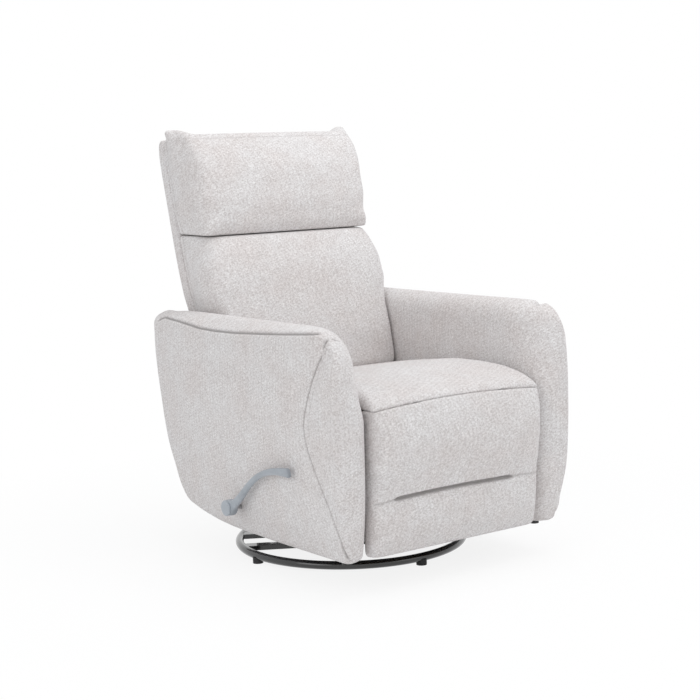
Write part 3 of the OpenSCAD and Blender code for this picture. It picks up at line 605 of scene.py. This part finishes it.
# seam round the outer panel, as (y, z): along the top, then down the front
SEAM_TOP = [(348, 588), (330, 595), (314, 598), (239, 593), (141, 583), (60, 582), (-22, 584), (-176, 593),
            (-260, 599), (-350, 606), (-387, 609)]
SEAM_CORNER = [(-398, 604)]
SEAM_DOWN = [(-400, 596), (-386, 560), (-372, 540), (-351, 505), (-330, 460), (-316, 420), (-311, 394),
             (-313, 370), (-322, 338), (-347, 290), (-370, 250), (-389, 216), (-405, 180), (-417, 150),
             (-424, 110), (-427, 84)]
ARM_SEAM = SEAM_TOP + SEAM_CORNER + SEAM_DOWN
SEAM_FRONT = [(z, y) for y, z in SEAM_DOWN]
TOP_EDGE = SEAM_TOP + [SEAM_DOWN[1]]  # dips at the corner, where the front seam starts
ARM_STITCH = [(-405, 578), (-396, 560), (-375, 520), (-352, 470), (-338, 430), (-332, 394), (-334, 365)]
# rounding and reach of the arm by height, and its lower edge by y
ARM_NOSE_ROUND = [(82, 54), (280, 58), (400, 58), (455, 86), (520, 110), (570, 128), (640, 138)]
ARM_SIDE = [(82, 322), (140, 334), (220, 344), (300, 349), (400, 351), (500, 349), (580, 346), (640, 344)]
ARM_FRONT = [(82, 424), (110, 431), (170, 440), (240, 446), (380, 448), (520, 447), (600, 442), (640, 440)]
ARM_REAR = [(120, 262), (136, 270), (161, 283), (211, 299), (274, 325), (390, 351), (494, 373), (573, 381),
            (640, 384)]
ARM_LOW = [(-448, 82), (-161, 81), (-60, 82), (58, 85), (148, 94), (210, 107), (290, 133)]
TOP_ROUND, SIDE_ROUND, REAR_ROUND, LOW_ROUND = 58, 16, 18, 13


def arm_field(x, y, z, height):
    """Upholstered arm: crowned top, pillowed outer panel, full nose in front of the seam."""
    crown = height - 6 * bell(y, 345, 60)
    seam_z = curve(y, TOP_EDGE) + 0.8 * (height - NEAR_CROWN)
    edge = np.clip((x - 290) / 56, 0, 1.3)
    top = z - (crown - (crown - seam_z - 4) * edge ** 1.7)
    seam_y = curve(z, SEAM_FRONT)
    nose = 6 * step(0, 58, seam_y - y) * step(100, 220, z) * (1 - step(540, 610, z))
    pillow = 5 * step(0, 110, y - seam_y) * step(0, 120, 360 - y) * step(90, 190, z)
    outer = x - (curve(z, ARM_SIDE) + nose + pillow)
    inner = ARM_IN + BEDDING - 2.5 * bell(y, -150, 220) * bell(z, 500, 110) - x
    f = smax(-y - curve(z, ARM_FRONT), inner, curve(z, ARM_NOSE_ROUND))
    fuller = 24 if height == NEAR_CROWN else 6
    f = smax(f, top, TOP_ROUND + fuller * step(-300, -420, y))
    f = smax(f, outer, SIDE_ROUND)
    f = smax(f, y - curve(z, ARM_REAR), REAR_ROUND)
    return smax(f, curve(y, ARM_LOW) - z, LOW_ROUND)


def arm_points(height):
    return surface_net(lambda x, y, z: arm_field(x, y, z, height), ARM_LO, ARM_HI, VOXEL)


def arm_carve(p, n):
    """The seam round the outer panel, with the full edge beside it, and a line of stitching."""
    across, outward = np.abs(p[:, 0]), np.abs(n[:, 0])
    side = step(0.08, 0.3, outward) * step(300, 318, across) * step(88, 104, p[:, 2])
    d, _ = to_line(p[:, 1:], ARM_SEAM)
    stitch, _ = to_line(p[:, 1:], ARM_STITCH)
    side = side * (1 - step(-396, -406, p[:, 1]) * step(584, 594, p[:, 2]))
    ahead = p[:, 1] < curve(p[:, 2], SEAM_FRONT)
    push = side * (-5.0 * bell(d, 0, 2.6) + 2.2 * bell(d, 6.5, 3.5) * np.where(ahead, 1, 0.3))
    push -= side * 1.5 * bell(stitch, 0, 1.6)
    near = np.where(side > 0, np.minimum(d, stitch), 1e9)
    return near, push


def mirrored(points, quads):
    return points * (-1, 1, 1), quads[:, ::-1]


soft_piece("arm_cover_left", *arm_points(FAR_CROWN), "chassis", "arm_left", 0.8, arm_carve)
soft_piece("arm_cover_right", *mirrored(*arm_points(NEAR_CROWN)), "chassis", "arm_right", 0.8, arm_carve)

# ---------------------------------------------------------------- seat and footrest

SEAT_SIDE = 254
SEAT_LO, SEAT_HI = (-256, -456, 380), (256, 118, 486)
# the seat's top by y, and the pad's front and the fold across it
NOSE = [(-460, 430), (-449, 440), (-441, 450), (-425, 459), (-402, 467), (-362, 474), (-300, 479),
        (-220, 480), (-180, 478), (-130, 472), (-60, 464), (0, 456), (60, 444), (112, 431), (122, 428)]


PAD_LO, PAD_HI = (-256, -482, 78), (256, -394, 444)
PAD_FRONT = [(80, 430), (92, 433), (128, 440), (180, 446), (222, 449), (273, 456), (323, 462), (370, 463),
             (400, 460), (415, 456), (428, 451.5), (440, 448.5)]
FOLD = [(-256, 213), (-200, 219), (-120, 222), (0, 223), (120, 221), (180, 220), (256, 217)]
SEAM_ROUND = 2.5


def front_seam(x):
    """Height of the line where the seat's nose meets the footrest pad."""
    return 438 - 12 * (np.abs(x) / SEAT_SIDE) ** 2


def seat_field(x, y, z):
    across = np.abs(x) / SEAT_SIDE
    top = z - (curve(y, NOSE) - 6 * across ** 4)
    sides = np.abs(x) - SEAT_SIDE
    front = -y - 449.5 - 2.5 * across ** 2
    under = np.where(y < -356, front_seam(x) + 0.3, 386) - z
    f = smax(top, sides, 24)
    f = smax(f, front, 12)
    f = smax(f, y - 116, 30)
    return smax(f, under, SEAM_ROUND)


def seat_points():
    """The seat cushion, held along its front seam, its underside and its rear."""
    p, q = surface_net(seat_field, SEAT_LO, SEAT_HI, VOXEL)
    seam = (p[:, 1] < -430) & (p[:, 2] < front_seam(p[:, 0]) + 4)
    return inflate(p, q, np.where(seam | (p[:, 2] < 400) | (p[:, 1] > 90), 1.0, 0.0)), q


def pad_field(x, y, z):
    across = np.abs(x) / 253
    swell = 9 * (1 - across ** 4) * (bell(z, 330, 90) + 0.6 * bell(z, 150, 50))
    f = smax(-y - curve(z, PAD_FRONT) - swell, np.abs(x) - SEAT_SIDE, 26)
    f = smax(f, z - (front_seam(x) - 0.3), SEAM_ROUND)
    f = smax(f, 84 - z, 16)
    return smax(f, y + 398.5, 5)


def pad_points():
    """The footrest pad, held at its rear, its ends and its fold, with the fold's hollow and its pleat."""
    p, q = surface_net(pad_field, PAD_LO, PAD_HI, VOXEL)
    edge = (p[:, 1] > -408) | (p[:, 2] > front_seam(p[:, 0]) - 4) | (p[:, 2] < 90)
    held = np.where(edge | (np.abs(p[:, 2] - curve(p[:, 0], FOLD)) < 5), 1.0, 0.0)
    p = inflate(p, q, held)
    n = normals(p, q)
    facing = step(0.1, 0.5, -n[:, 1])
    gap = p[:, 2] - curve(p[:, 0], FOLD)
    middle = step(-205, -180, p[:, 0]) * (1 - step(150, 168, p[:, 0]))
    push = -facing * 6 * bell(gap, 0, 24) * (0.35 + 0.65 * middle)
    pleat = bell(p[:, 0], 160 + 0.12 * gap, 9) * step(-2, 14, gap) * (1 - step(26, 60, gap))
    return p + n * (push - facing * 7 * pleat)[:, None], q


def pad_carve(p, n):
    """The fold across the pad, deep in the middle and a mere line at its ends."""
    facing = step(0.1, 0.5, -n[:, 1])
    gap = p[:, 2] - curve(p[:, 0], FOLD)
    middle = step(-205, -185, p[:, 0]) * (1 - step(150, 166, p[:, 0]))
    ends = 1 - step(248, 253, np.abs(p[:, 0]))
    push = -facing * ends * (2.4 + 9 * middle) * bell(gap, 0, 2.6 + 1.2 * middle)
    push += facing * middle * 2.5 * bell(gap, 9, 7)
    return np.where(facing > 0, np.abs(gap), 1e9), push


soft_piece("seat_cushion_cover", *seat_points(), "chassis", "seat_cushion", 0.75)
soft_piece("footrest_pad_cover", *pad_points(), "footrest", "footrest_pad", 0.75, pad_carve)

# ---------------------------------------------------------------- back

PIVOT = np.array([0, 230.0, 330.0])
LEAN = math.radians(15)


def from_back(points):
    """Points on the back's own axes (across, behind the pivot line, up the back) to the chair's."""
    x, y, z = points.T
    c, s = math.cos(LEAN), math.sin(LEAN)
    return np.stack([x, PIVOT[1] + y * c + z * s, PIVOT[2] - y * s + z * c], 1)


def to_back(points):
    """The other way about."""
    x, y, z = (points - PIVOT).T
    c, s = math.cos(LEAN), math.sin(LEAN)
    return np.stack([x, y * c - z * s, y * s + z * c], 1)


# reach to the front and side, and rounding between them, by height up the back
BACK_FRONT = [(60, 141), (110, 148), (250, 151), (330, 151), (400, 146), (430, 140), (450, 130), (465, 116),
              (490, 96)]
BACK_SIDE = [(60, 252), (200, 255), (235, 257), (280, 269), (325, 279), (370, 279), (420, 268), (470, 257),
             (490, 253)]
BACK_ROUND = [(60, 12), (215, 13), (280, 34), (330, 44), (400, 56), (450, 62), (490, 60)]
HEAD_FRONT = [(456, 120), (466, 131), (480, 140), (510, 145), (560, 149), (640, 147), (690, 134), (720, 117),
              (745, 94), (760, 80)]
HEAD_SIDE = [(456, 260), (500, 261), (560, 265), (640, 265), (700, 263), (760, 262)]
HEAD_ROUND = [(456, 24), (480, 40), (511, 56), (554, 46), (600, 42), (640, 36), (690, 28), (760, 24)]
SHELL_REAR = [(18, 48), (100, 53), (590, 53), (680, 52), (715, 49), (740, 42), (756, 36)]
SHELL_SIDE = [(18, 251), (100, 254), (290, 255), (340, 261), (640, 263), (745, 263)]
HALF_BACK, HALF_HEAD = 254, 262
BACK_LOW, SHELL_LOW, HEAD_TOP, SHELL_TOP = 62, 18, 735, 732
SPLIT, SPLIT_ROUND, SHELL_GAP, CREASE_GAP = 7.5, 6, 0.7, 1.5
EAR_ROOT, EAR_TIP = np.array((222.0, -62.0, 672.0)), np.array((280.0, -53.0, 749.0))


def crease(y):
    """Height up the back at which the headrest meets the cushion."""
    return 490 - 31 * np.clip(-y / 112, 0, 1.2)


def back_field(x, y, z):
    """The back cushion, on the back's own axes."""
    across = np.abs(x) / HALF_BACK
    front = -y - curve(z, BACK_FRONT) - 5 * (1 - across ** 2)
    seam = curve(z, SHELL_SIDE) - 0.5
    sides = np.abs(x) - seam - (curve(z, BACK_SIDE) - seam) * step(0, -90, y)
    f = smax(front, sides, curve(z, BACK_ROUND))
    f = smax(f, z - crease(y) + CREASE_GAP, 10)
    f = smax(f, BACK_LOW - z, 30)
    return smax(f, y - SPLIT, SPLIT_ROUND)


def ear(x, y, z):
    """Pointed upper corner of the headrest, a cone from low inside to its tip."""
    d = EAR_TIP - EAR_ROOT
    v = (np.abs(x) - EAR_ROOT[0], y - EAR_ROOT[1], z - EAR_ROOT[2])
    t = np.clip((v[0] * d[0] + v[1] * d[1] + v[2] * d[2]) / (d @ d), 0, 1)
    far = np.sqrt(sum((v[i] - t * d[i]) ** 2 for i in range(3)))
    return far - (46 - 40 * t)


def head_field(x, y, z):
    """The headrest with its two ears, on the back's own axes."""
    across = np.abs(x) / HALF_HEAD
    front = -y - curve(z, HEAD_FRONT) - 4 * (1 - across ** 2)
    sides = np.abs(x) - curve(z, HEAD_SIDE)
    f = smax(front, sides, curve(z, HEAD_ROUND))
    f = smax(f, z - HEAD_TOP - 19 * step(226, 266, np.abs(x)) + 3 * step(-10, 10, y), 18)
    f = smin(f, ear(x, y, z), 34)
    f = smax(f, crease(y) + CREASE_GAP - z, 10)
    return smax(f, y - SPLIT, SPLIT_ROUND)


def shell_field(x, y, z):
    """The shell behind both cushions, on the back's own axes."""
    across = np.abs(x) / HALF_BACK
    belly = 4 * (1 - across ** 2) * step(20, 120, z) * (1 - step(620, 740, z))
    f = smax(y - curve(z, SHELL_REAR) - belly, np.abs(x) - curve(z, SHELL_SIDE), 22)
    f = smax(f, z - SHELL_TOP - 22 * step(226, 262, np.abs(x)), 14)
    f = smax(f, SHELL_LOW - z, 14)
    return smax(f, SPLIT + SHELL_GAP - y, 4)


def side_seam(p, n):
    """A line of stitching that follows the boxing seam down each side of the back."""
    p = to_back(p)
    d = np.abs(p[:, 1] + 9)
    side = step(0.3, 0.7, np.abs(n[:, 0]))
    return np.where(side > 0, d, 1e9), -side * 2.0 * bell(d, 0, 1.7)


def head_carve(p, n):
    """The side seam, and a line of stitching across the headrest below its top edge."""
    near, push = side_seam(p, n)
    q = to_back(p)
    d = np.abs(q[:, 2] - 716)
    front = step(0.2, 0.5, -n[:, 1]) * (1 - step(246, 256, np.abs(q[:, 0])))
    return np.where(front > 0, np.minimum(near, d), near), push - front * 1.2 * bell(d, 0, 1.7)


def back_points(field, lo, hi):
    """A cushion of the back, held at its rear edge, its ends and the crease between the two cushions."""
    p, q = surface_net(field, lo, hi, VOXEL)
    if field is shell_field:
        return p, q
    held = (p[:, 1] > -2) | (p[:, 2] < lo[2] + 6) | (p[:, 2] > 728) | (np.abs(p[:, 2] - crease(p[:, 1])) < 7)
    return inflate(p, q, np.where(held, 1.0, 0.0)), q


BACK_PIECES = [
    ("back_cushion_cover", back_field, (-278, -156, 58), (278, 10, 490), "back_cushion", side_seam),
    ("headrest_cover", head_field, (-292, -156, 455), (292, 10, 762), "headrest", head_carve),
    ("back_shell_cover", shell_field, (-268, 6, 14), (268, 60, 744), "back_shell", None),
]
for name, field, lo, hi, node, carve in BACK_PIECES:
    p, q = back_points(field, lo, hi)
    soft_piece(name, from_back(p), q, "back", node, 0.8, carve)


SKIRT_LOW, SKIRT_HIGH = np.array([262.0, 160.0]), np.array([312.0, 318.0])
SKIRT_LO, SKIRT_HI = (-257, 255, 150), (257, 345, 330)


def skirt_field(x, y, z):
    """Thin padded panel across the rear, leaning from SKIRT_LOW to SKIRT_HIGH, both (y, z)."""
    rise = np.linalg.norm(SKIRT_HIGH - SKIRT_LOW)
    up = (SKIRT_HIGH - SKIRT_LOW) / rise
    a = (y - SKIRT_LOW[0]) * up[0] + (z - SKIRT_LOW[1]) * up[1]
    b = (y - SKIRT_LOW[0]) * up[1] - (z - SKIRT_LOW[1]) * up[0]
    f = smax(np.abs(x) - 256.5, -b, 4)
    f = smax(f, b - 14 - 3 * (1 - (np.abs(x) / 257) ** 2), 8)
    return smax(smax(f, -a, 8), a - rise, 8)


skirt = surface_net(skirt_field, SKIRT_LO, SKIRT_HI, VOXEL)
soft_piece("rear_skirt_cover", *skirt, "chassis", "rear_skirt", 0.6)

# ---------------------------------------------------------------- lever

HUB = np.array((-8.0, 155.0))
LEVER_BOW = [np.array(v, float) for v in ((-84, 36), (-92, 122), (-262, 125))]
LEVER_OUT = 377.0
LEVER_END, LEVER_END_FACE = (-274, 280), (-0.94, 0.34)


def lever_at(t):
    """Middle line of the lever as (y, z), from its hub at t 0 to its tip at 1."""
    near, far, tip = LEVER_BOW
    return HUB + 3 * t * (1 - t) ** 2 * near + 3 * t * t * (1 - t) * far + t ** 3 * tip


LEVER_LINE = [lever_at(t) for t in np.linspace(0, 1, 25)]


def lever_field(x, y, z):
    """A blade that is thin in the middle, widens to its cut tip and grows out of a round hub."""
    d, along = to_line(np.stack([y.ravel(), z.ravel()], 1), LEVER_LINE)
    d, t = d.reshape(x.shape), along.reshape(x.shape) / 310
    half = 7.0 + 5 * (1 - t) ** 3 + 5 * np.clip(t, 0, 1) ** 5
    thick = 6.5 - 1.5 * bell(t, 0.55, 0.3)
    arm = smax(d - half, np.abs(x + LEVER_OUT - 6.5) - thick, 6)
    arm = smax(arm, LEVER_END_FACE[0] * (y - LEVER_END[0]) + LEVER_END_FACE[1] * (z - LEVER_END[1]), 3)
    hub = smax(np.hypot(y - HUB[0], z - HUB[1]) - 20, np.abs(x + LEVER_OUT - 9) - 9, 3)
    return smin(arm, hub, 9)


def cap_field(x, y, z):
    return smax(np.hypot(y - HUB[0], z - HUB[1]) - 19.5, np.abs(x + LEVER_OUT + 3.6) - 3.4, 3)


hard_piece("lever_arm", lever_field, (-379, -290, 132), (-358, 16, 298), 2.4, "lever")
hard_piece("lever_hub_cap", cap_field, (-386, -30, 133), (-376, 14, 177), 1.8, "lever_cap")
